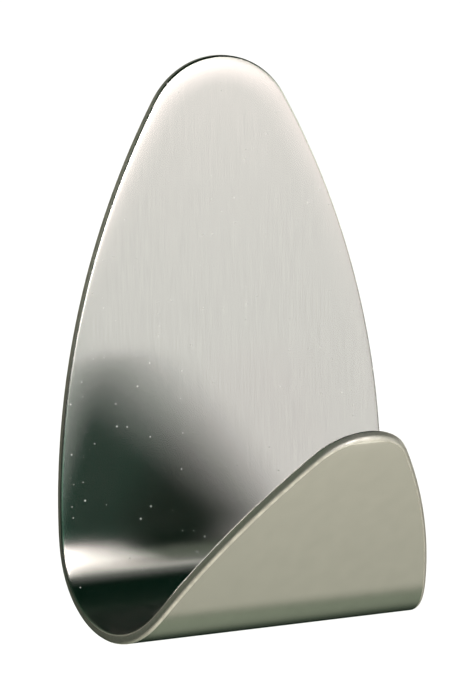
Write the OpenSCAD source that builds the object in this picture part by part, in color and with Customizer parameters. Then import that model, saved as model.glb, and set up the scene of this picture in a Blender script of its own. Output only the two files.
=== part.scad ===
// Adhesive wall hook: one steel blank, bent forward into a lip, held to the wall by a foam pad.
// Sizes are in millimetres. The origin is the middle of the pad on the wall, with +Z up and -Y to the room.
// A place on the flat blank is [x, s]: x across from the middle line, s along the sheet from its top edge.

/* [Steel blank] */
// Thickness of the steel sheet
sheet_t = 1.2; // [0.8:0.1:2]
// Width of the blank at its widest line
blank_w = 38.8; // [32:0.2:48]
// Distance along the sheet from the top edge to the widest line
widest_at = 47.4; // [42:0.2:54]
// Radius of the rounded top end
top_r = 8.9; // [6:0.1:12]
// Radius of the rounded tip of the lip
tip_r = 6.3; // [4:0.1:10]

/* [Bend] */
// Height of the flat plate, from the top edge to the start of the bend
plate_h = 50.8; // [44:0.2:60]
// Inside radius of the bend
bend_r = 8; // [5:0.1:11]
// Angle that the sheet is bent through
bend_angle = 140.5; // [120:0.5:160]
// Straight length of the lip past the bend
lip_len = 26.4; // [20:0.2:32]

/* [Edges] */
// Width of the soft roll-over along the front edge
roll_w = 1.6; // [0.5:0.1:3.9]
// Depth of the soft roll-over along the front edge
roll_d = 0.4; // [0.05:0.05:0.5]
// Width of the broken corner along the back edge
break_w = 0.5; // [0.1:0.1:1]
// Depth of the broken corner along the back edge
break_d = 0.1; // [0.05:0.05:0.2]

/* [Adhesive pad] */
// Thickness of the foam
foam_t = 1; // [0.5:0.1:2]
// Thickness of each adhesive film
film_t = 0.1; // [0.05:0.05:0.2]
// Thickness of the release liner
liner_t = 0.1; // [0.05:0.05:0.2]
// Margin from the edge of the plate to the edge of the pad
pad_inset = 3; // [2:0.5:5]
// Margin from the start of the bend to the lower edge of the pad
pad_foot = 3; // [1:0.5:8]
// Radius of the pad's lower corners
pad_corner_r = 3; // [1:0.5:6]
// Width of the liner's pull tab
tab_w = 12; // [8:0.5:18]
// Length of the liner's pull tab below the pad
tab_len = 6; // [4:0.5:8]
// Radius of the pull tab's corners
tab_corner_r = 2.5; // [1:0.5:3]

/* [Hidden] */

// Steps along each stretch of the blank's edge, and round its edge profile
end_steps = 12;
plate_steps = 40;
bend_steps = 30;
lip_steps = 20;
roll_steps = 6;
break_steps = 2;
// Steps along the pad's sides and round its corners
pad_steps = 24;
corner_steps = 6;

// The sheet's neutral line sets its developed length round the bend
half_w = blank_w / 2;
neutral_r = bend_r + sheet_t / 2;
bend_len = neutral_r * bend_angle * PI / 180;
lip_at = plate_h + bend_len;
blank_len = lip_at + lip_len;

// Each side of the blank is two wide arcs that meet at the widest line and run into the round ends
upper_r = side_radius(top_r, widest_at);
lower_r = side_radius(tip_r, blank_len - widest_at);
top_depth = end_depth(top_r, widest_at);
tip_depth = end_depth(tip_r, blank_len - widest_at);

// The pad's layers lie one on another, counted from the wall
wall_film_at = liner_t;
foam_at = wall_film_at + film_t;
plate_film_at = foam_at + foam_t;
plate_at = plate_film_at + film_t;

// The pad stands centred on the origin, and the plate round it
pad_bottom = plate_h - pad_foot;
plate_top = (pad_inset + pad_bottom) / 2;
bend_y = -plate_at - sheet_t - bend_r;
bend_z = plate_top - plate_h;

// Each lower corner of the pad is an arc inside the side arc, with its centre at [corner_x, corner_s]
corner_s = pad_bottom - pad_corner_r;
corner_side = arc_at(corner_s);
corner_reach = corner_side[2] - pad_inset - pad_corner_r;
corner_x = corner_side[0] + sqrt(pow(corner_reach, 2) - pow(corner_s - corner_side[1], 2));
corner_turn = atan2(corner_s - corner_side[1], corner_x - corner_side[0]);
corner_join = corner_side[1] + corner_side[2] * sin(corner_turn);

// Radius of the side arc that runs from the widest line, reach away, into a round end
function side_radius(end_r, reach) =
    (pow(half_w, 2) + pow(reach - end_r, 2) - pow(end_r, 2)) / (2 * (half_w - end_r));

// Distance from a round end's outermost point to where it meets its side arcs
function end_depth(end_r, reach) =
    end_r * (1 - (reach - end_r) / (side_radius(end_r, reach) - end_r));

// The arc that bounds the blank at s, as [centre x, centre s, radius]
function arc_at(s) =
    s < top_depth ? [0, top_r, top_r]
    : s < widest_at ? [half_w - upper_r, widest_at, upper_r]
    : s < blank_len - tip_depth ? [half_w - lower_r, widest_at, lower_r]
    : [0, blank_len - tip_r, tip_r];

// The place on the blank that lies inset inside its right-hand edge at s
function edge_place(s, inset) =
    let (arc = arc_at(s))
    let (along = (s - arc[1]) / arc[2])
    let (across = sqrt(max(0, 1 - along * along)))
    [arc[0] + (arc[2] - inset) * across, arc[1] + (arc[2] - inset) * along];

// Even places after first, up to last
function spread(first, last, steps) = [for (i = [1 : steps]) first + (last - first) * i / steps];

// Even steps round a round end, as distances from its outermost point, up to depth
function end_steps_to(end_r, depth) =
    let (sweep = acos(1 - depth / end_r))
    [for (i = [0 : end_steps]) end_r * (1 - cos(sweep * i / end_steps))];

// A place on the arc of the pad's lower right corner
function corner_place(turn) = [corner_x + pad_corner_r * cos(turn), corner_s + pad_corner_r * sin(turn)];

// The point of the formed sheet that lies at x across, s along and h forward of the back face
function formed(x, s, h) =
    let (turn = min(bend_angle, max(0, (s - plate_h) / neutral_r * 180 / PI)))
    let (run = s - plate_h - neutral_r * turn * PI / 180)
    let (r = bend_r + sheet_t - h)
    [x, bend_y + r * cos(turn) - run * sin(turn), bend_z - r * sin(turn) - run * cos(turn)];

// A list of places on the right, then the same on the left, as one closed outline
function both_sides(places) =
    concat(places, [for (i = [len(places) - 1 : -1 : 1]) [-places[i][0], places[i][1]]]);

// Places along the blank's edge at which the sheet has a cross-line, from its top to its tip
top_steps = end_steps_to(top_r, top_depth);
tip_steps = end_steps_to(tip_r, tip_depth);
edge_stations = concat(
    top_steps,
    spread(top_depth, plate_h, plate_steps),
    spread(plate_h, lip_at, bend_steps),
    spread(lip_at, blank_len - tip_depth, lip_steps),
    [for (i = [end_steps - 1 : -1 : 0]) blank_len - tip_steps[i]]
);

// Profile of the sheet's edge from the back face to the front, as [inset, height above the back face]
edge_profile = concat(
    [for (turn = [0 : 90 / break_steps : 90]) [break_w * (1 - sin(turn)), break_d * (1 - cos(turn))]],
    [for (turn = [0 : 90 / roll_steps : 90]) [roll_w * (1 - cos(turn)), sheet_t - roll_d * (1 - sin(turn))]]
);

// Half outline of the pad, and of the tab below it
pad_half = concat(
    [for (s = concat(top_steps, spread(top_depth, corner_join, pad_steps))) edge_place(s, pad_inset)],
    [for (turn = spread(corner_turn, 90, corner_steps)) corner_place(turn)]
);
tab_half = concat(
    [[tab_w / 2, pad_bottom]],
    [for (turn = [0 : 90 / corner_steps : 90]) [
        tab_w / 2 - tab_corner_r * (1 - cos(turn)),
        pad_bottom + tab_len - tab_corner_r * (1 - sin(turn))
    ]]
);

// The steel sheet: every cross-line carries the edge profile, and the whole is wrapped round the bend
module hook_plate() {
    side_count = len(edge_stations) - 1;
    loop_count = 2 * side_count;
    front = (len(edge_profile) - 1) * loop_count;
    points = [
        for (edge = edge_profile, i = [0 : loop_count - 1])
            let (on_right = i <= side_count)
            let (place = edge_place(edge_stations[on_right ? i : loop_count - i], edge[0]))
            formed(on_right ? place[0] : -place[0], place[1], edge[1])
    ];
    rim = [
        for (ring = [0 : len(edge_profile) - 2], i = [0 : loop_count - 1])
            let (a = ring * loop_count + i)
            let (b = ring * loop_count + (i + 1) % loop_count)
            each [[a, b, a + loop_count], [b, b + loop_count, a + loop_count]]
    ];
    face = concat(
        [for (i = [1 : side_count - 1]) [i, loop_count - i, loop_count - i - 1]],
        [for (i = [0 : side_count - 2]) [i, loop_count - i - 1, i + 1]]
    );
    front_face = [for (f = face) [front + f[2], front + f[1], front + f[0]]];
    color("silver") polyhedron(points = points, faces = concat(rim, face, front_face));
}

// One flat layer of the pad, thick millimetres deep, that starts depth in front of the wall
module pad_layer(outline, depth, thick) {
    translate([0, -depth, plate_top])
        rotate([90, 0, 0])
            linear_extrude(thick)
                polygon([for (place = both_sides(outline)) [place[0], -place[1]]]);
}

// Sticky film that holds the foam to the back of the steel
module plate_side_adhesive() {
    color("lightyellow") pad_layer(pad_half, plate_film_at, film_t);
}

// Closed-cell foam that takes up an uneven wall
module foam_carrier() {
    color("white") pad_layer(pad_half, foam_at, foam_t);
}

// Sticky film that holds the foam to the wall
module wall_side_adhesive() {
    color("lightyellow") pad_layer(pad_half, wall_film_at, film_t);
}

// Waxed paper that covers the wall film until the hook is put up, with a tab to pull it off by
module release_liner() {
    color("wheat") pad_layer(concat(pad_half, tab_half), 0, liner_t);
}

hook_plate();
plate_side_adhesive();
foam_carrier();
wall_side_adhesive();
release_liner();
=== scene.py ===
"""Looks of an adhesive wall hook: a bent sheet of brushed steel on a foam pad with a release liner.

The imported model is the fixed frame. Everything here is in metres in that frame: +Z is up the wall, -Y faces
the room, and the origin is the middle of the pad on the wall. A place on the flat sheet is counted across
from its middle line and down from its top edge, before the sheet is bent.
"""

from __future__ import annotations

import logging
import math
from dataclasses import dataclass, field
from enum import Enum
from functools import cached_property

import bmesh
import bpy
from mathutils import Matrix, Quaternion, Vector, noise

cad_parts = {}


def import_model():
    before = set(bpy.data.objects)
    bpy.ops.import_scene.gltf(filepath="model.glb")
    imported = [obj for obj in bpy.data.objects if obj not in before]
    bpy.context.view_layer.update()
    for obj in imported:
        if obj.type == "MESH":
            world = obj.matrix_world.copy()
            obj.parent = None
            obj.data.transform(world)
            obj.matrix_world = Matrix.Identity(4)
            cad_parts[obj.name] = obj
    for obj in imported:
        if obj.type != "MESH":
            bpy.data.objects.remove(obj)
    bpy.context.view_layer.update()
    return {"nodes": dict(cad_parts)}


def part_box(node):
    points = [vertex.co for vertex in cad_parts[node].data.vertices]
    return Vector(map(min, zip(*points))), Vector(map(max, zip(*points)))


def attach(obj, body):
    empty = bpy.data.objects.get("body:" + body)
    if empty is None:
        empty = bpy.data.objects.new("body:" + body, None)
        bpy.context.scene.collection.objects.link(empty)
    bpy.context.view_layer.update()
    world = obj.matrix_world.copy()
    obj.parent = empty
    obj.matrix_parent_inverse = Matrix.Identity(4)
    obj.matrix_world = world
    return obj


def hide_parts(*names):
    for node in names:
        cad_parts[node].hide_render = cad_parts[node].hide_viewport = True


LOG = logging.getLogger("wall_hook")
BODY = "root"
SHEET_UV = "sheet_place"
MM = 0.001
MERGE = 0.001 * MM
QUARTER = math.pi / 2
# A noise swings about NOISE_MIDDLE, and most of it lies inside NOISE_SPAN
NOISE_MIDDLE = 0.5
NOISE_SPAN = (0.3, 0.7)
Colour = tuple[float, float, float]
Grain = tuple[float, float, float]
Arc = tuple[Vector, float, float]


class Side(Enum):
    """The parts of the sheet's surface that differ in finish."""

    FRONT = 0
    BACK = 1
    CUT_EDGE = 2


class Shading:
    """A node tree in the making, with short ways to add its nodes and join them."""

    def __init__(self, tree: bpy.types.NodeTree) -> None:
        """Starts from an existing tree."""
        self.tree = tree

    @classmethod
    def of_material(cls, name: str) -> tuple[Shading, bpy.types.Material, bpy.types.Node]:
        """Starts a new material.

        Args:
            name: The material's name.

        Returns:
            The tree, the material and its surface shader.
        """
        material = bpy.data.materials.new(name)
        material.use_nodes = True
        return cls(material.node_tree), material, material.node_tree.nodes["Principled BSDF"]

    def feed(self, node: bpy.types.Node, **inputs: object) -> None:
        """Sets or links inputs of a node.

        Args:
            node: The node.
            inputs: For each input a value or the socket to link. An input goes by its name, with spaces
                written as underscores, or by its number after an underscore.
        """
        for name, value in inputs.items():
            socket = node.inputs[int(name[1:])] if name[0] == "_" else node.inputs[name.replace("_", " ")]
            if isinstance(value, bpy.types.NodeSocket):
                self.tree.links.new(value, socket)
            else:
                socket.default_value = value

    def node(self, kind: str, settings: dict[str, object] | None = None, **inputs: object) -> bpy.types.Node:
        """Adds a node.

        Args:
            kind: The node's type, without its common prefix.
            settings: The node's own choices.
            inputs: As for feed().

        Returns:
            The node.
        """
        made = self.tree.nodes.new("ShaderNode" + kind)
        for name, value in (settings or {}).items():
            setattr(made, name, value)
        self.feed(made, **inputs)
        return made

    def math(self, operation: str, *values: object) -> bpy.types.NodeSocket:
        """Works out one sum on numbers or sockets and returns its socket."""
        inputs = {f"_{place}": value for place, value in enumerate(values)}
        return self.node("Math", {"operation": operation}, **inputs).outputs[0]

    def span(self, value: object, start: float, end: float, low: float, high: float) -> bpy.types.NodeSocket:
        """Carries a value from one span to another, with soft ends.

        Args:
            value: The socket to carry over.
            start: Where the first span starts.
            end: Where the first span ends.
            low: What start becomes.
            high: What end becomes.

        Returns:
            The new value's socket.
        """
        smooth = {"interpolation_type": "SMOOTHSTEP"}
        return self.node("MapRange", smooth, _0=value, _1=start, _2=end, _3=low, _4=high).outputs[0]

    def sway(self, value: object, reach: float, base: object) -> bpy.types.NodeSocket:
        """Moves a base up and down with a noise, by reach at most, and returns the sum."""
        off_middle = self.math("SUBTRACT", value, NOISE_MIDDLE)
        return self.math("MULTIPLY_ADD", off_middle, 2 * reach, base)

    def share(self, first: object, second: object, part: float) -> bpy.types.NodeSocket:
        """Adds a part of one value to the rest of another and returns the sum."""
        rest = self.math("MULTIPLY", second, 1 - part)
        return self.math("MULTIPLY_ADD", first, part, rest)

    def stretched(self, place: bpy.types.NodeSocket, grain: Vector) -> bpy.types.NodeSocket:
        """Scales a place so that one unit is a grain of the given size."""
        scale = [1 / size for size in grain]
        return self.node("Mapping", _0=place, _3=scale).outputs[0]

    def noise(
        self, place: bpy.types.NodeSocket, grain: Vector, detail: float = 2.0, rough: float = 0.5
    ) -> bpy.types.NodeSocket:
        """Adds cloudy noise.

        Args:
            place: Where it is read.
            grain: Size of its grains along each axis, in the unit of the place.
            detail: How many finer layers it has.
            rough: How strong the finer layers are.

        Returns:
            The noise's socket.
        """
        scaled = self.stretched(place, grain)
        return self.node("TexNoise", Vector=scaled, Scale=1.0, Detail=detail, Roughness=rough).outputs[0]

    def cells(
        self, place: bpy.types.NodeSocket, size: float, settings: dict[str, object] | None = None
    ) -> bpy.types.Node:
        """Adds a pattern of uneven cells.

        Args:
            place: Where it is read.
            size: Size of a cell, in the unit of the place.
            settings: The pattern's own choices.

        Returns:
            The pattern's node.
        """
        scaled = self.stretched(place, Vector((size, size, size)))
        return self.node("TexVoronoi", settings, Vector=scaled, Scale=1.0)

    def blend(self, factor: object, first: object, second: object) -> bpy.types.NodeSocket:
        """Mixes two colours and returns the mix."""
        mix = {"data_type": "RGBA"}
        return self.node("Mix", mix, _0=factor, _6=first, _7=second).outputs[2]

    def bump(self, height: object, strength: float, distance: float) -> bpy.types.NodeSocket:
        """Turns a height into a bent normal and returns it."""
        return self.node("Bump", Height=height, Strength=strength, Distance=distance).outputs[0]


def opaque(colour: Colour) -> tuple[float, float, float, float]:
    """Adds full opacity to a colour."""
    return (*colour, 1.0)


@dataclass(frozen=True)
class BrushedSteel:
    """Stainless steel brushed along the sheet: bright, with fine streaks, faint clouds and specks of dust.

    Attributes:
        name: The material's name.
        colour: Colour of the metal.
        dust_colour: Colour of a speck of dust.
        roughness: Roughness of the surface.
        uneven: Share by which the roughness rises and falls with the streaks.
        anisotropy: How much broader a highlight is across the brush lines than along them.
        streak: How far the streaks lighten and darken the metal.
        cloud: How far the clouds lighten and darken it.
        scratch: Depth of the streaks.
        fine_grain: Size of the fine streaks, across and along the sheet.
        broad_grain: Size of the broad streaks.
        fine_share: Share of the fine streaks in the whole.
        cloud_grain: Size of the clouds.
        speck: Radius of the largest specks of dust.
        speck_gap: Distance between the places where a speck may lie.
        speck_share: Share of those places that have one.
    """

    name: str
    colour: Colour = (0.62, 0.61, 0.59)
    dust_colour: Colour = (0.61, 0.6, 0.58)
    roughness: float = 0.24
    uneven: float = 0.04
    anisotropy: float = 1.0
    streak: float = 0.03
    cloud: float = 0.0
    scratch: float = 0.0006 * MM
    fine_grain: Grain = (0.13 * MM, 4.0 * MM, MM)
    broad_grain: Grain = (0.4 * MM, 11.0 * MM, MM)
    fine_share: float = 0.75
    cloud_grain: Grain = (2.2 * MM, 2.8 * MM, MM)
    speck: float = 0.1 * MM
    speck_gap: float = 1.3 * MM
    speck_share: float = 0.22

    def material(self, length: float) -> bpy.types.Material:
        """Makes the material.

        Args:
            length: Length that one unit of the sheet's own map stands for.

        Returns:
            The material.
        """
        shading, material, surface = Shading.of_material(self.name)
        place = shading.node("UVMap", {"uv_map": SHEET_UV}).outputs[0]
        fine = shading.noise(place, Vector(self.fine_grain) / length, rough=0.6)
        broad = shading.noise(place, Vector(self.broad_grain) / length)
        clouds = shading.noise(place, Vector(self.cloud_grain) / length, detail=3.0, rough=0.55)
        streaks = shading.share(fine, broad, self.fine_share)
        tone = shading.sway(clouds, self.cloud, shading.sway(streaks, self.streak, 1.0))
        metal = shading.node("VectorMath", {"operation": "SCALE"}, _0=self.colour, Scale=tone).outputs[0]
        dust = self.dust(shading, place, length)
        dull = self.roughness * (1 + self.uneven)
        sleek = self.roughness * (1 - self.uneven)
        surface.inputs["Anisotropic"].default_value = self.anisotropy
        shading.feed(
            surface,
            Base_Color=shading.blend(dust, metal, opaque(self.dust_colour)),
            Metallic=shading.math("SUBTRACT", 1.0, dust),
            Roughness=shading.span(streaks, *NOISE_SPAN, dull, sleek),
            Normal=shading.bump(streaks, 1.0, self.scratch),
            Tangent=shading.node("Tangent", {"direction_type": "UV_MAP", "uv_map": SHEET_UV}).outputs[0],
        )
        return material

    def dust(self, shading: Shading, place: bpy.types.NodeSocket, length: float) -> bpy.types.NodeSocket:
        """Scatters specks of dust.

        Args:
            shading: The material's tree.
            place: The place on the sheet's own map.
            length: Length that one unit of that map stands for.

        Returns:
            A socket that is 1 in a speck and 0 beside it.
        """
        spots = shading.cells(place, self.speck_gap / length, {"voronoi_dimensions": "2D"})
        chance = shading.node("SeparateColor", _0=spots.outputs["Color"]).outputs
        kept = shading.math("LESS_THAN", chance[0], self.speck_share)
        radius = shading.math("MULTIPLY", chance[1], self.speck / self.speck_gap)
        inside = shading.math("LESS_THAN", spots.outputs["Distance"], radius)
        return shading.math("MULTIPLY", kept, inside)


@dataclass(frozen=True)
class ShearedSteel:
    """The cut edge of the sheet and its back corner, tumbled dull: patchy, with fine marks through the sheet.

    Attributes:
        name: The material's name.
        burnished: Colour where the tool has rubbed the metal.
        torn: Colour where the metal has torn.
        burnished_roughness: Roughness where it is rubbed.
        torn_roughness: Roughness where it has torn.
        patch_grain: Size of the patches.
        patch_span: Where the patchy noise turns from torn to burnished.
        mark_grain: Size of the marks.
        marks: Depth of the marks.
    """

    name: str = "sheared_steel"
    burnished: Colour = (0.80, 0.78, 0.73)
    torn: Colour = (0.74, 0.72, 0.67)
    burnished_roughness: float = 0.551
    torn_roughness: float = 0.638
    patch_grain: Grain = (0.9 * MM, 0.9 * MM, MM)
    patch_span: tuple[float, float] = (0.35, 0.65)
    mark_grain: Grain = (0.12 * MM, 0.12 * MM, MM)
    marks: float = 0.0008 * MM

    def material(self, length: float) -> bpy.types.Material:
        """Makes the material.

        Args:
            length: Length that one unit of the sheet's own map stands for.

        Returns:
            The material.
        """
        shading, material, surface = Shading.of_material(self.name)
        place = shading.node("UVMap", {"uv_map": SHEET_UV}).outputs[0]
        patchy = shading.noise(place, Vector(self.patch_grain) / length, detail=3.0, rough=0.6)
        marks = shading.noise(place, Vector(self.mark_grain) / length)
        rubbed = shading.span(patchy, *self.patch_span, 0.0, 1.0)
        surface.inputs["Metallic"].default_value = 1.0
        shading.feed(
            surface,
            Base_Color=shading.blend(rubbed, opaque(self.torn), opaque(self.burnished)),
            Roughness=shading.span(rubbed, 0.0, 1.0, self.torn_roughness, self.burnished_roughness),
            Normal=shading.bump(marks, 1.0, self.marks),
        )
        return material


@dataclass(frozen=True)
class CellFoam:
    """White closed-cell foam, with the cut cells showing as fine pits, which are painted darker as shade.

    Attributes:
        name: The material's name.
        skin: Colour of the walls between the cells.
        pit_shade: Colour in the pits, darker than the walls as painted shade.
        skin_roughness: Roughness of the walls.
        pit_roughness: Roughness in the pits.
        cell: Size of a cell.
        wall_span: Where a wall runs out into its pit, in cells.
        depth: Depth of the pits.
        relief: How strongly the pits show.
        cloud: How far the clouds lighten and darken the foam.
        cloud_grain: Size of the clouds.
        glow: Share of the light that goes under the surface.
        glow_depth: How deep its red, green and blue go.
    """

    name: str = "cell_foam"
    skin: Colour = (0.80, 0.80, 0.77)
    pit_shade: Colour = (0.60, 0.60, 0.56)
    skin_roughness: float = 0.6
    pit_roughness: float = 0.9
    cell: float = 0.16 * MM
    wall_span: tuple[float, float] = (0.03, 0.3)
    depth: float = 0.03 * MM
    relief: float = 0.6
    cloud: float = 0.25
    cloud_grain: Grain = (3 * MM, 3 * MM, 3 * MM)
    glow: float = 0.15
    glow_depth: Colour = (0.6 * MM, 0.6 * MM, 0.5 * MM)

    def material(self) -> bpy.types.Material:
        """Makes the material.

        Returns:
            The material.
        """
        shading, material, surface = Shading.of_material(self.name)
        place = shading.node("TexCoord").outputs["Object"]
        from_wall = shading.cells(place, self.cell, {"feature": "DISTANCE_TO_EDGE"}).outputs[0]
        walls = shading.span(from_wall, *self.wall_span, 1.0, 0.0)
        clouds = shading.noise(place, Vector(self.cloud_grain))
        tone = shading.sway(clouds, self.cloud, walls)
        surface.inputs["Subsurface Weight"].default_value = self.glow
        surface.inputs["Subsurface Radius"].default_value = self.glow_depth
        shading.feed(
            surface,
            # The pits take the darker colour: painted shade in the hollows between the walls.
            Base_Color=shading.blend(tone, opaque(self.pit_shade), opaque(self.skin)),
            Roughness=shading.span(walls, 0.0, 1.0, self.pit_roughness, self.skin_roughness),
            Normal=shading.bump(walls, self.relief, self.depth),
        )
        return material


@dataclass(frozen=True)
class TackyFilm:
    """Clear, slightly yellow acrylic adhesive, glossy, with small bubbles and a combed-on unevenness.

    Attributes:
        name: The material's name.
        thin: Colour where the film is thin.
        thick: Colour where it is thick.
        thin_roughness: Roughness where it is thin.
        thick_roughness: Roughness where it is thick.
        comb_grain: Size of the combed lines.
        bubble: Distance between bubbles.
        bubble_span: Where a bubble starts and ends to fall off, in those distances.
        depth: Depth of lines and bubbles.
        relief: How strongly they show.
        clarity: Share of the light that goes through.
        bending: Refractive index.
    """

    name: str = "tacky_film"
    thin: Colour = (0.82, 0.80, 0.70)
    thick: Colour = (0.70, 0.66, 0.50)
    thin_roughness: float = 0.16
    thick_roughness: float = 0.30
    comb_grain: Grain = (0.7 * MM, 0.7 * MM, 9.0 * MM)
    bubble: float = 0.9 * MM
    bubble_span: tuple[float, float] = (0.05, 0.22)
    depth: float = 0.006 * MM
    relief: float = 0.5
    clarity: float = 0.35
    bending: float = 1.47

    def material(self) -> bpy.types.Material:
        """Makes the material.

        Returns:
            The material.
        """
        shading, material, surface = Shading.of_material(self.name)
        place = shading.node("TexCoord").outputs["Object"]
        combed = shading.noise(place, Vector(self.comb_grain), detail=3.0, rough=0.6)
        from_middle = shading.cells(place, self.bubble).outputs[0]
        bubbles = shading.span(from_middle, *self.bubble_span, 1.0, 0.0)
        height = shading.math("ADD", combed, bubbles)
        surface.inputs["Transmission Weight"].default_value = self.clarity
        surface.inputs["IOR"].default_value = self.bending
        shading.feed(
            surface,
            Base_Color=shading.blend(combed, opaque(self.thin), opaque(self.thick)),
            Roughness=shading.span(combed, *NOISE_SPAN, self.thin_roughness, self.thick_roughness),
            Normal=shading.bump(height, self.relief, self.depth),
        )
        return material


@dataclass(frozen=True)
class WaxedPaper:
    """Honey-coloured release paper with a waxed face and faint fibres.

    Attributes:
        name: The material's name.
        pale: Colour of its pale places.
        deep: Colour of its deep ones.
        least_roughness: Roughness where the wax is thick.
        most_roughness: Roughness where it is thin.
        fibre: Depth of the fibres.
        relief: How strongly they show.
        fibre_grain: Size of the fibres.
        mottle_grain: Size of the mottling.
        fibre_share: Share of the fibres in the colour, beside the mottling.
        wax: Weight of the wax coat.
        wax_roughness: Roughness of the wax coat.
    """

    name: str = "waxed_paper"
    pale: Colour = (0.76, 0.64, 0.42)
    deep: Colour = (0.60, 0.47, 0.26)
    least_roughness: float = 0.42
    most_roughness: float = 0.58
    fibre: float = 0.02 * MM
    relief: float = 0.5
    fibre_grain: Grain = (0.18 * MM, 0.18 * MM, 0.7 * MM)
    mottle_grain: Grain = (2.5 * MM, 2.5 * MM, 3.5 * MM)
    fibre_share: float = 0.6
    wax: float = 0.25
    wax_roughness: float = 0.35

    def material(self) -> bpy.types.Material:
        """Makes the material.

        Returns:
            The material.
        """
        shading, material, surface = Shading.of_material(self.name)
        place = shading.node("TexCoord").outputs["Object"]
        fibres = shading.noise(place, Vector(self.fibre_grain), detail=4.0, rough=0.65)
        mottle = shading.noise(place, Vector(self.mottle_grain), detail=3.0, rough=0.55)
        tone = shading.span(shading.share(fibres, mottle, self.fibre_share), *NOISE_SPAN, 0.0, 1.0)
        surface.inputs["Coat Weight"].default_value = self.wax
        surface.inputs["Coat Roughness"].default_value = self.wax_roughness
        shading.feed(
            surface,
            Base_Color=shading.blend(tone, opaque(self.deep), opaque(self.pale)),
            Roughness=shading.span(mottle, *NOISE_SPAN, self.least_roughness, self.most_roughness),
            Normal=shading.bump(fibres, self.relief, self.fibre),
        )
        return material


@dataclass(frozen=True)
class LeafOutline:
    """The leaf outline of the sheet, made of arcs that run into each other.

    Attributes:
        half_width: Half the width at the widest line.
        length: Length of the flat sheet from its top edge to the tip of the lip.
        widest_at: Distance from the top edge down to the widest line.
        top_radius: Radius of the round top end.
        tip_radius: Radius of the round tip.
    """

    half_width: float
    length: float
    widest_at: float
    top_radius: float
    tip_radius: float

    def side_radius(self, end_radius: float, reach: float) -> float:
        """Finds the side arc that leaves the widest line square and runs into a round end.

        Args:
            end_radius: Radius of the round end.
            reach: Distance from the widest line to the outermost point of that end.

        Returns:
            The radius of the side arc.
        """
        across = self.half_width**2 - end_radius**2
        return (across + (reach - end_radius) ** 2) / (2 * (self.half_width - end_radius))

    def end_turn(self, end_radius: float, reach: float) -> float:
        """Finds how far a round end turns before its side arc takes over.

        Args:
            end_radius: Radius of the round end.
            reach: Distance from the widest line to the outermost point of that end.

        Returns:
            The angle from the middle line, in radians.
        """
        span = self.side_radius(end_radius, reach) - end_radius
        return math.acos((reach - end_radius) / span)

    def arcs(self, inset: float = 0.0) -> list[Arc]:
        """Lists the arcs of the right-hand edge from the top to the tip.

        Args:
            inset: Distance inside the sheet's own edge.

        Returns:
            For each arc its centre as (across, down), its radius and the angle that it turns through.
        """
        to_tip = self.length - self.widest_at
        upper = self.side_radius(self.top_radius, self.widest_at)
        lower = self.side_radius(self.tip_radius, to_tip)
        top_turn = self.end_turn(self.top_radius, self.widest_at)
        tip_turn = self.end_turn(self.tip_radius, to_tip)
        return [
            (Vector((0, self.top_radius)), self.top_radius - inset, top_turn),
            (Vector((self.half_width - upper, self.widest_at)), upper - inset, QUARTER - top_turn),
            (Vector((self.half_width - lower, self.widest_at)), lower - inset, QUARTER - tip_turn),
            (Vector((0, self.length - self.tip_radius)), self.tip_radius - inset, tip_turn),
        ]

    def pad_arcs(self, inset: float, foot: float, corner: float) -> list[Arc]:
        """Lists the arcs of the right-hand edge of a pad that lies inside the leaf and has a straight foot.

        Args:
            inset: Distance inside the sheet's own edge.
            foot: Distance from the sheet's top edge down to the foot, a corner below the widest line at most.
            corner: Radius of the foot's corners.

        Returns:
            The arcs from the top to the foot, as arcs() gives them.
        """
        top_arc, (centre, radius, turn) = self.arcs(inset)[:2]
        drop = foot - corner - centre.y
        across = math.sqrt((radius - corner) ** 2 - drop**2)
        lean = math.atan2(drop, across)
        corner_centre = centre + Vector((across, drop))
        return [top_arc, (centre, radius, turn + lean), (corner_centre, corner, QUARTER - lean)]


def verts_of(parts: list[object]) -> list[bmesh.types.BMVert]:
    """Picks the vertices out of what an operator has made."""
    return [part for part in parts if isinstance(part, bmesh.types.BMVert)]


def lay_flat(bm: bmesh.types.BMesh, top: Vector, arcs: list[Arc], step: float) -> None:
    """Adds a flat outline to a mesh, filled with strips that run straight across.

    Args:
        bm: The mesh to add to.
        top: Where the middle of the sheet's own top edge lies.
        arcs: The arcs of the right-hand edge, from the top down.
        step: Greatest length of one strip along the edge.
    """
    fewest = 8
    first_centre, first_radius, _ = arcs[0]
    end = bm.verts.new(top + Vector((first_centre.x, 0, first_radius - first_centre.y)))
    for centre, radius, turn in arcs:
        pivot = top + Vector((centre.x, 0, -centre.y))
        steps = max(fewest, math.ceil(radius * turn / step))
        turned = bmesh.ops.spin(bm, geom=[end], cent=pivot, axis=(0, 1, 0), angle=turn, steps=steps)
        end = turned["geom_last"][0]
    across = bmesh.ops.extrude_edge_only(bm, edges=bm.edges[:])["geom"]
    bmesh.ops.scale(bm, vec=(-1, 1, 1), verts=verts_of(across))
    bmesh.ops.remove_doubles(bm, verts=bm.verts[:], dist=MERGE)
    bmesh.ops.recalc_face_normals(bm, faces=bm.faces[:])


def raise_faces(
    bm: bmesh.types.BMesh, faces: list[bmesh.types.BMFace], lift: float
) -> list[bmesh.types.BMFace]:
    """Extrudes faces towards the room.

    Args:
        bm: The mesh.
        faces: The faces to raise.
        lift: How far they rise.

    Returns:
        The raised faces.
    """
    raised = bmesh.ops.extrude_face_region(bm, geom=faces)["geom"]
    bmesh.ops.translate(bm, vec=(0, -lift, 0), verts=verts_of(raised))
    return [part for part in raised if isinstance(part, bmesh.types.BMFace)]


def cut_across(bm: bmesh.types.BMesh, at: Vector, facing: tuple[float, float, float]) -> None:
    """Cuts a line through a whole mesh where a plane meets it.

    Args:
        bm: The mesh.
        at: A point of the plane.
        facing: The plane's direction.
    """
    whole = bm.verts[:] + bm.edges[:] + bm.faces[:]
    bmesh.ops.bisect_plane(bm, geom=whole, dist=MERGE, plane_co=at, plane_no=facing)


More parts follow.
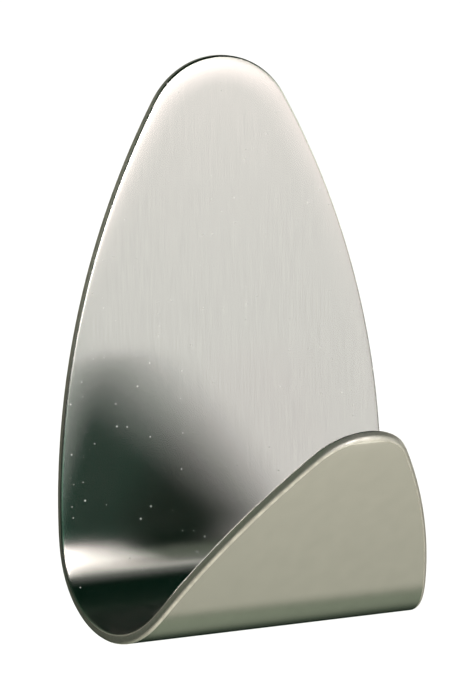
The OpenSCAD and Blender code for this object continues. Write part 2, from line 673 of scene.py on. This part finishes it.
def finished(bm: bmesh.types.BMesh, name: str) -> bpy.types.Object:
    """Turns a mesh in the making into an object at the origin.

    Args:
        bm: The mesh, which is used up.
        name: The piece's name.

    Returns:
        The object, in the scene.
    """
    mesh = bpy.data.meshes.new(name)
    for face in bm.faces:
        face.smooth = True
    bm.to_mesh(mesh)
    bm.free()
    piece = bpy.data.objects.new(name, mesh)
    bpy.context.scene.collection.objects.link(piece)
    return piece


def keep_faces_even(piece: bpy.types.Object) -> None:
    """Shades a piece by its large faces first, so that flat stretches stay flat beside round edges."""
    even = piece.modifiers.new("even_shading", "WEIGHTED_NORMAL")
    even.mode = "FACE_AREA"


@dataclass
class SteelSheet:
    """The hook itself: a leaf-shaped sheet of steel whose lower end is bent forward into a lip.

    Attributes:
        thickness: Thickness of the sheet.
        widest_at: Distance from the top edge down to the widest line.
        top_radius: Radius of the round top end.
        tip_radius: Radius of the round tip.
        bend_radius: Radius inside the bend.
        bend_angle: Angle that the sheet is bent through.
        ease: Half the stretch over which the bend eases in, and out.
        lip_length: Straight length of the lip past the bend.
        roll_width: Width of the tight roll-over along the front edge.
        roll_depth: Depth of the roll-over.
        crown_width: Width of the shallow crown that it runs out in.
        crown_depth: Depth of the crown.
        break_width: Width of the broken corner along the back edge.
        break_depth: Depth of the broken corner.
        strip: Greatest length of one strip of faces along the edge.
        line_step: Step along the middle line of the bent sheet.
        roll_steps: Steps round the roll-over.
        crown_steps: Steps over the crown.
        break_steps: Steps round the broken corner.
        low: Lowest corner of the solid's box.
        high: Highest corner of the solid's box.
    """

    thickness: float = 1.2 * MM
    widest_at: float = 47.4 * MM
    top_radius: float = 8.9 * MM
    tip_radius: float = 6.3 * MM
    bend_radius: float = 8.0 * MM
    bend_angle: float = math.radians(140.5)
    ease: float = 2.2 * MM
    lip_length: float = 26.4 * MM
    roll_width: float = 0.22 * MM
    roll_depth: float = 0.2 * MM
    crown_width: float = 3.2 * MM
    crown_depth: float = 0.15 * MM
    break_width: float = 0.4 * MM
    break_depth: float = 0.4 * MM
    strip: float = 0.3 * MM
    line_step: float = 0.1 * MM
    roll_steps: int = 10
    crown_steps: int = 12
    break_steps: int = 4
    low: Vector = field(default_factory=lambda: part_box("hook_plate")[0])
    high: Vector = field(default_factory=lambda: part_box("hook_plate")[1])

    @property
    def top(self) -> Vector:
        """Where the middle of the top edge lies, on the back face."""
        return Vector((0, self.high.y, self.high.z))

    @property
    def plate_height(self) -> float:
        """Height of the flat plate above the bend."""
        return self.high.z - self.low.z - self.bend_radius - self.thickness

    @property
    def neutral_radius(self) -> float:
        """Radius of the line in the sheet that keeps its length in the bend."""
        return self.bend_radius + self.thickness / 2

    @property
    def outline(self) -> LeafOutline:
        """The flat outline that the sheet was cut to.

        Returns:
            The outline.
        """
        length = self.plate_height + self.neutral_radius * self.bend_angle + self.lip_length
        half_width = (self.high.x - self.low.x) / 2
        return LeafOutline(half_width, length, self.widest_at, self.top_radius, self.tip_radius)

    def turn_at(self, past: float) -> float:
        """Finds how far the sheet has turned, where the bend eases in and out over a short stretch.

        Args:
            past: Distance along the sheet from the line where the bend starts.

        Returns:
            The angle turned through, in radians.
        """
        bend_length = self.neutral_radius * self.bend_angle
        from_end = bend_length - past
        if past > from_end:
            return self.bend_angle - self.turn_at(from_end)
        if past < -self.ease:
            return 0.0
        if past < self.ease:
            return (past + self.ease) ** 2 / (4 * self.ease * self.neutral_radius)
        return past / self.neutral_radius

    @cached_property
    def middle_line(self) -> list[tuple[Vector, Vector]]:
        """The bent sheet's middle line.

        Returns:
            At even steps from the top, the point of the line and the direction that the front faces there.
        """
        point = self.top - Vector((0, self.thickness / 2, 0))
        line = []
        for step in range(math.ceil(self.outline.length / self.line_step) + 2):
            past = step * self.line_step - self.plate_height
            turn = self.turn_at(past)
            line.append((point.copy(), Vector((0, -math.cos(turn), math.sin(turn)))))
            halfway = self.turn_at(past + self.line_step / 2)
            point += self.line_step * Vector((0, -math.sin(halfway), -math.cos(halfway)))
        return line

    def formed(self, place: Vector) -> Vector:
        """Carries a point of the flat sheet to where it lies once the lip is bent.

        Args:
            place: The point on the flat sheet.

        Returns:
            The point on the formed sheet.
        """
        steps = max(0.0, self.top.z - place.z) / self.line_step
        before = int(steps)
        (start, start_facing), (end, end_facing) = self.middle_line[before : before + 2]
        point = start.lerp(end, steps - before)
        facing = start_facing.lerp(end_facing, steps - before).normalized()
        point += facing * (self.top.y - place.y - self.thickness / 2)
        point.x = place.x
        return point

    def front_profile(self) -> list[Vector]:
        """Lists the rounding of the front edge: a tight roll-over that runs out in a wide, shallow crown.

        Returns:
            Places from the cut edge inwards, each as (distance inside the edge, climb).
        """
        turns = [QUARTER * step / self.roll_steps for step in range(self.roll_steps)]
        insets = [self.roll_width * (1 - math.cos(turn)) for turn in turns]
        start = math.acos(1 - self.roll_width / self.crown_width)
        turns = [start + (QUARTER - start) * step / self.crown_steps for step in range(self.crown_steps + 1)]
        insets += [self.crown_width * (1 - math.cos(turn)) for turn in turns]
        profile = []
        for inset in insets:
            roll = self.climb(inset, self.roll_width, self.roll_depth)
            crown = self.climb(inset, self.crown_width, self.crown_depth)
            profile.append(Vector((inset, roll + crown)))
        return profile

    def back_profile(self) -> list[Vector]:
        """Lists the rounding of the back edge: a broken corner.

        Returns:
            Places as front_profile() gives them.
        """
        turns = [QUARTER * step / self.break_steps for step in range(self.break_steps + 1)]
        insets = [self.break_width * (1 - math.cos(turn)) for turn in turns]
        return [Vector((inset, self.climb(inset, self.break_width, self.break_depth))) for inset in insets]

    @staticmethod
    def climb(inset: float, width: float, depth: float) -> float:
        """Works out how far a quarter ellipse has climbed at a distance inside the edge.

        Args:
            inset: The distance inside the edge.
            width: Width of the rounding.
            depth: Depth of the rounding.

        Returns:
            The climb.
        """
        away = max(0.0, 1 - inset / width)
        return depth * math.sqrt(max(0.0, 1 - away**2))

    @staticmethod
    def round_edge(bm: bmesh.types.BMesh, faces: list[bmesh.types.BMFace], profile: list[Vector]) -> None:
        """Rounds the edge of one side of the sheet, as insets that climb a profile.

        Args:
            bm: The sheet's mesh.
            faces: The faces on that side of the sheet, which move inwards and outwards.
            profile: The profile's places from the cut edge inwards.
        """
        for start, end in zip(profile, profile[1:]):
            inward, upward = end - start
            bmesh.ops.inset_region(
                bm, faces=faces, thickness=inward, depth=upward, use_even_offset=True, use_boundary=True
            )

    @staticmethod
    def mark(faces: list[bmesh.types.BMFace], side: Side) -> None:
        """Marks faces as one of the parts of the sheet's surface."""
        for face in faces:
            face.material_index = side.value

    def build(self) -> bpy.types.Object:
        """Cuts, rounds and bends the sheet.

        Returns:
            The finished sheet.
        """
        bm = bmesh.new()
        lay_flat(bm, self.top - Vector((0, self.break_depth, 0)), self.outline.arcs(), self.strip)
        for line in (self.plate_height, self.plate_height + self.neutral_radius * self.bend_angle):
            cut_across(bm, self.top - Vector((0, 0, line)), (0, 0, 1))
        back = bm.faces[:]
        front = raise_faces(bm, back, self.thickness - self.break_depth - self.roll_depth - self.crown_depth)
        bmesh.ops.recalc_face_normals(bm, faces=bm.faces[:])
        # An inset keeps the mark of the faces that it goes round, so the back corner counts as cut edge
        self.mark(bm.faces[:], Side.CUT_EDGE)
        self.mark(front, Side.FRONT)
        self.round_edge(bm, front, self.front_profile())
        self.round_edge(bm, back, self.back_profile())
        self.mark(back, Side.BACK)
        places = bm.loops.layers.uv.new(SHEET_UV)
        for face in bm.faces:
            for loop in face.loops:
                loop[places].uv = (loop.vert.co.x / self.outline.length, loop.vert.co.z / self.outline.length)
        for vert in bm.verts:
            vert.co = self.formed(vert.co)
        return finished(bm, "steel_sheet")

    def dress(self, sheet: bpy.types.Object) -> None:
        """Gives each side of the sheet its finish.

        Args:
            sheet: The finished sheet.
        """
        finishes = {
            Side.FRONT: BrushedSteel("brushed_front"),
            Side.BACK: BrushedSteel("satin_back", streak=0.02, cloud=0.05, speck_share=0.0),
            Side.CUT_EDGE: ShearedSteel(),
        }
        for side in Side:
            sheet.data.materials.append(finishes[side].material(self.outline.length))
        keep_faces_even(sheet)


@dataclass
class FoamPad:
    """The closed-cell foam between the two adhesive films, die-cut to follow the plate.

    Attributes:
        corner: Radius of the lower corners.
        strip: Greatest length of one strip of faces along the edge.
        layers: Layers of faces through the foam.
        bulge: How far the cut edge swells half-way through the foam.
        wobble: How far that swelling is uneven.
        wobble_length: Distance between its uneven places.
        fill: How tight the foam is, from 0 to 1; not used.
        low: Lowest corner of the solid's box.
        high: Highest corner of the solid's box.
    """

    corner: float = 3.0 * MM
    strip: float = 0.4 * MM
    layers: int = 5
    bulge: float = 0.07 * MM
    wobble: float = 0.05 * MM
    wobble_length: float = 1.6 * MM
    fill: float = 0.9
    low: Vector = field(default_factory=lambda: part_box("foam_carrier")[0])
    high: Vector = field(default_factory=lambda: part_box("foam_carrier")[1])

    def arcs(self, sheet: SteelSheet) -> list[Arc]:
        """Lists the arcs of the pad's right-hand edge, inside the sheet's own."""
        return sheet.outline.pad_arcs(sheet.top.z - self.high.z, sheet.top.z - self.low.z, self.corner)

    def build(self, sheet: SteelSheet) -> bpy.types.Object:
        """Stacks the foam in layers and lets its cut edge bulge and wobble a little.

        Args:
            sheet: The sheet that the pad follows.

        Returns:
            The finished pad.
        """
        bm = bmesh.new()
        thickness = self.high.y - self.low.y
        lay_flat(bm, Vector((0, self.high.y, sheet.top.z)), self.arcs(sheet), self.strip)
        faces = bm.faces[:]
        for _ in range(self.layers):
            faces = raise_faces(bm, faces, thickness / self.layers)
        bmesh.ops.recalc_face_normals(bm, faces=bm.faces[:])
        bm.normal_update()
        for vert in bm.verts:
            depth = (self.high.y - vert.co.y) / thickness
            outward = Vector((vert.normal.x, 0, vert.normal.z)).normalized()
            uneven = noise.noise(vert.co / self.wobble_length)
            swell = 4 * depth * (1 - depth)
            vert.co += outward * swell * (self.bulge + self.wobble * uneven)
        return finished(bm, "foam_pad")

    @staticmethod
    def dress(foam: bpy.types.Object) -> None:
        """Gives the foam its finish."""
        foam.data.materials.append(CellFoam().material())
        keep_faces_even(foam)


@dataclass
class ReleaseLiner:
    """The waxed paper over the wall film, with a tab below the pad that stands off the wall a little.

    Attributes:
        tab_width: Width of the tab.
        tab_corner: Radius of the tab's corners.
        tab_lift: How far the tab's end stands off the wall.
        tab_lines: Strips of faces down the tab.
        corner_segments: Steps round a corner of the tab.
        low: Lowest corner of the solid's box.
        high: Highest corner of the solid's box.
    """

    tab_width: float = 12.0 * MM
    tab_corner: float = 2.5 * MM
    tab_lift: float = 0.7 * MM
    tab_lines: int = 16
    corner_segments: int = 8
    low: Vector = field(default_factory=lambda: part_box("release_liner")[0])
    high: Vector = field(default_factory=lambda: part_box("release_liner")[1])

    def build(self, sheet: SteelSheet, pad: FoamPad) -> bpy.types.Object:
        """Cuts the liner to the pad's outline, adds its tab and lifts the tab's end.

        Args:
            sheet: The sheet that the pad follows.
            pad: The pad that the liner covers.

        Returns:
            The finished liner.
        """
        bm = bmesh.new()
        lay_flat(bm, Vector((0, self.high.y, sheet.top.z)), pad.arcs(sheet), pad.strip)
        for side in (-1, 1):
            cut_across(bm, Vector((side * self.tab_width / 2, 0, 0)), (1, 0, 0))
        tab_length = pad.low.z - self.low.z
        root = [edge for edge in bm.edges if self.is_tab_root(edge, pad.low.z)]
        corners = verts_of(bmesh.ops.extrude_edge_only(bm, edges=root)["geom"])
        bmesh.ops.translate(bm, vec=(0, 0, -tab_length), verts=corners)
        bmesh.ops.bevel(
            bm,
            geom=corners,
            offset=self.tab_corner,
            offset_type="OFFSET",
            affect="VERTICES",
            segments=self.corner_segments,
            profile=0.5,
            material=-1,
        )
        for line in range(1, self.tab_lines):
            cut_across(bm, Vector((0, 0, pad.low.z - tab_length * line / self.tab_lines)), (0, 0, 1))
        bmesh.ops.recalc_face_normals(bm, faces=bm.faces[:])
        raise_faces(bm, bm.faces[:], self.high.y - self.low.y)
        bmesh.ops.recalc_face_normals(bm, faces=bm.faces[:])
        for vert in bm.verts:
            along = max(0.0, (pad.low.z - vert.co.z) / tab_length)
            vert.co.y -= self.tab_lift * along**2
        return finished(bm, "liner_sheet")

    def is_tab_root(self, edge: bmesh.types.BMEdge, foot: float) -> bool:
        """Tells whether an edge is the stretch of the pad's foot that the tab grows from."""
        inside = all(abs(vert.co.x) < self.tab_width / 2 + MERGE for vert in edge.verts)
        return inside and all(abs(vert.co.z - foot) < MERGE for vert in edge.verts)

    @staticmethod
    def dress(liner: bpy.types.Object) -> None:
        """Gives the liner its finish."""
        liner.data.materials.append(WaxedPaper().material())
        keep_faces_even(liner)


@dataclass(frozen=True)
class AdhesiveFilms:
    """The two sticky films of the pad, which keep their solids.

    Attributes:
        nodes: The names of their solids.
    """

    nodes: tuple[str, ...] = ("plate_side_adhesive", "wall_side_adhesive")

    def dress(self, solids: dict[str, bpy.types.Object]) -> None:
        """Gives both films their finish.

        Args:
            solids: The frame's solids by name.
        """
        tacky = TackyFilm().material()
        for node in self.nodes:
            film = solids[node]
            film.data.materials.clear()
            film.data.materials.append(tacky)
            LOG.info("%s keeps its solid", node)


@dataclass(frozen=True)
class SoftPanel:
    """A soft-edged patch of light far away, given by the directions that it fills.

    Attributes:
        name: What it stands for.
        colour: Its light, where 1 is white.
        azimuth: The direction of its middle, in degrees from straight out of the wall towards +X.
        elevation: The height of its middle, in degrees above level.
        width: Half its width, in degrees.
        height: Half its height, in degrees.
        soft_sides: How many degrees its sides fade over, either way.
        soft_ends: How many degrees its top and foot fade over, either way.
    """

    name: str
    colour: Colour
    azimuth: float
    elevation: float
    width: float
    height: float
    soft_sides: float
    soft_ends: float

    def mask(
        self, shading: Shading, azimuth: bpy.types.NodeSocket, elevation: bpy.types.NodeSocket
    ) -> bpy.types.NodeSocket:
        """Works out how much of the panel shows in a direction.

        Args:
            shading: The world's tree.
            azimuth: The direction round, in radians.
            elevation: The direction up, in radians.

        Returns:
            A socket that goes from 0 to 1.
        """
        turned = shading.math("SUBTRACT", azimuth, math.radians(self.azimuth))
        aside = shading.math("ABSOLUTE", shading.math("WRAP", turned, math.pi, -math.pi))
        above = shading.math("ABSOLUTE", shading.math("SUBTRACT", elevation, math.radians(self.elevation)))
        across = self.fade(shading, aside, self.width, self.soft_sides)
        return shading.math("MULTIPLY", across, self.fade(shading, above, self.height, self.soft_ends))

    @staticmethod
    def fade(shading: Shading, away: bpy.types.NodeSocket, half: float, soft: float) -> bpy.types.NodeSocket:
        """Fades from 1 to 0 round half a panel's size from its middle, in degrees."""
        return shading.span(away, math.radians(half - soft), math.radians(half + soft), 1.0, 0.0)


@dataclass(frozen=True)
class Studio:
    """Plain soft light from a few panels, round a pale floor.

    Attributes:
        gloom: The light between the panels.
        panels: The panels, each with its values in the order of SoftPanel's own.
        floor_drop: How far the floor lies below the origin.
        floor_size: Half the floor's width.
        floor_cells: Faces along the floor's side.
        floor_colour: Colour of the floor.
        floor_shade: Share of that colour in the floor's darker clouds.
        floor_cloud: Size of those clouds.
        floor_roughness: Roughness of the floor.
        floor_sun: Strength of the light on the floor.
        floor_sun_angle: How wide that light is.
    """

    gloom: Colour = (0.003, 0.014, 0.008)
    panels: tuple[SoftPanel, ...] = (
        SoftPanel("front", (1.15, 1.0, 0.97), 12, 0, 30, 3, 2, 3),
        SoftPanel("key_wing", (0.0, 0.33, 0.2), -9, 2, 8, 14, 2, 3),
        SoftPanel("key", (4.6, 4.0, 4.0), 0, 12, 8, 15.5, 2, 5),
        SoftPanel("high_key", (4.1, 4.0, 3.7), 5, 17, 9, 16, 2, 6),
        SoftPanel("spot", (15.5, 14.8, 14.2), -6, 10.5, 4, 9, 2, 4),
        SoftPanel("left_side", (0.24, 0.36, 0.28), -35, -8, 25, 3, 6, 2),
        SoftPanel("left_wall", (0.05, 0.08, 0.05), -112, 34, 40, 26, 15, 8),
        SoftPanel("right_side", (2.5, 2.7, 2.2), 67, 9, 12, 7, 2, 2),
        SoftPanel("right_wall", (1.5, 1.4, 1.35), 128, -3, 26, 9, 6, 4),
        SoftPanel("backdrop", (0.34, 0.31, 0.26), 180, 13, 62, 14, 8, 12),
        SoftPanel("low_front", (1.6, 1.56, 1.52), 31, -36, 16, 35, 2, 6),
        SoftPanel("table", (1.38, 1.32, 1.1), -2, -60, 90, 28, 6, 6),
        SoftPanel("table_back", (0.34, 0.38, 0.28), 165, -72, 69, 22, 12, 7),
        SoftPanel("upper_front", (0.5, 0.5, 0.47), 34, 30, 10, 8, 4, 8),
        SoftPanel("ceiling", (0.06, 0.08, 0.06), 0, 86, 180, 4, 4, 3),
    )
    floor_drop: float = 300 * MM
    floor_size: float = 12.0
    floor_cells: int = 4
    floor_colour: Colour = (0.86, 0.86, 0.85)
    floor_shade: float = 0.99
    floor_cloud: Grain = (500 * MM, 500 * MM, 500 * MM)
    floor_roughness: float = 0.8
    floor_sun: float = 3.6
    floor_sun_angle: float = math.radians(40)

    def light(self) -> None:
        """Builds the surroundings: the panels for the reflections, and plain white behind the object."""
        world = bpy.data.worlds.new("studio")
        world.use_nodes = True
        bpy.context.scene.world = world
        shading = Shading(world.node_tree)
        direction = shading.node("TexCoord").outputs["Generated"]
        parts = shading.node("SeparateXYZ", _0=direction).outputs
        azimuth = shading.math("ARCTAN2", parts[0], shading.math("MULTIPLY", parts[1], -1.0))
        elevation = shading.math("ARCSINE", parts[2])
        add_light = {"operation": "MULTIPLY_ADD"}
        total: object = self.gloom
        for panel in self.panels:
            mask = panel.mask(shading, azimuth, elevation)
            total = shading.node("VectorMath", add_light, _0=mask, _1=panel.colour, _2=total).outputs[0]
            LOG.info("light panel %s", panel.name)
        panels = shading.node("Background", Color=total)
        white = shading.node("Background", Color=opaque((1.0, 1.0, 1.0)))
        seen = shading.node("LightPath").outputs["Is Camera Ray"]
        mixed = shading.node("MixShader", _0=seen, _1=panels.outputs[0], _2=white.outputs[0])
        shading.feed(world.node_tree.nodes["World Output"], Surface=mixed.outputs[0])

    def lay_floor(self) -> bpy.types.Object:
        """Lays a pale floor below the object, with a light of its own, so that it is nearly white.

        Returns:
            The floor.
        """
        bm = bmesh.new()
        cells = self.floor_cells
        bmesh.ops.create_grid(bm, x_segments=cells, y_segments=cells, size=self.floor_size)
        bmesh.ops.translate(bm, vec=(0, 0, -self.floor_drop), verts=bm.verts[:])
        floor = finished(bm, "floor")
        floor.visible_glossy = False
        floor.data.materials.append(self.floor_finish())
        sun = bpy.data.objects.new("floor_light", bpy.data.lights.new("floor_light", "SUN"))
        sun.data.energy = self.floor_sun
        sun.data.angle = self.floor_sun_angle
        sun.visible_glossy = False
        bpy.context.scene.collection.objects.link(sun)
        return floor

    def floor_finish(self) -> bpy.types.Material:
        """Makes the floor's material, with faint clouds.

        Returns:
            The material.
        """
        shading, material, surface = Shading.of_material("pale_floor")
        place = shading.node("TexCoord").outputs["Object"]
        clouds = shading.noise(place, Vector(self.floor_cloud))
        shade = tuple(part * self.floor_shade for part in self.floor_colour)
        colour = shading.blend(clouds, opaque(shade), opaque(self.floor_colour))
        shading.feed(surface, Base_Color=colour, Roughness=self.floor_roughness)
        return material


@dataclass(frozen=True)
class PhotoCamera:
    """A camera at the photograph's viewing angle.

    Attributes:
        azimuth: How far it stands to the side, from straight out of the wall towards -X.
        elevation: How high it stands above level.
        roll: How far it is turned about its own axis.
        distance: Distance from its target.
        lens: Focal length, in millimetres.
        near: Where its view starts.
        target: The point that it looks at.
    """

    azimuth: float = math.radians(27.687)
    elevation: float = math.radians(8.4108)
    roll: float = math.radians(-0.5946)
    distance: float = 486.897 * MM
    lens: float = 241.584
    near: float = 10 * MM
    target: Vector = field(default_factory=lambda: Vector((1.4389, -1.3, -5.158)) * MM)

    def place(self) -> None:
        """Makes the camera and sets it as the scene's own."""
        data = bpy.data.cameras.new("camera")
        data.lens = self.lens
        data.clip_start = self.near
        camera = bpy.data.objects.new("camera", data)
        bpy.context.scene.collection.objects.link(camera)
        level = math.cos(self.elevation)
        aside = -math.sin(self.azimuth) * level
        out = -math.cos(self.azimuth) * level
        back = Vector((aside, out, math.sin(self.elevation)))
        camera.rotation_mode = "QUATERNION"
        camera.rotation_quaternion = (-back).to_track_quat("-Z", "Y") @ Quaternion((0, 0, 1), self.roll)
        camera.location = self.target + back * self.distance
        bpy.context.scene.camera = camera


def settle(piece: bpy.types.Object, node: str) -> None:
    """Puts a finished piece in the place of its solid.

    Args:
        piece: The finished piece.
        node: The solid that it stands for.
    """
    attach(piece, BODY)
    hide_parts(node)
    LOG.info("%s stands for %s: %d faces", piece.name, node, len(piece.data.polygons))


def main() -> None:
    """Builds the hook, dresses it and lights it."""
    logging.basicConfig(format="%(name)s: %(message)s")
    LOG.setLevel(logging.INFO)
    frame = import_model()
    bpy.context.scene.view_settings.view_transform = "Standard"
    PhotoCamera().place()

    steel = SteelSheet()
    sheet = steel.build()
    steel.dress(sheet)
    settle(sheet, "hook_plate")

    pad = FoamPad()
    foam = pad.build(steel)
    pad.dress(foam)
    settle(foam, "foam_carrier")

    paper = ReleaseLiner()
    liner = paper.build(steel, pad)
    paper.dress(liner)
    settle(liner, "release_liner")

    AdhesiveFilms().dress(frame["nodes"])

    studio = Studio()
    studio.light()
    studio.lay_floor()


if __name__ == "__main__":
    main()
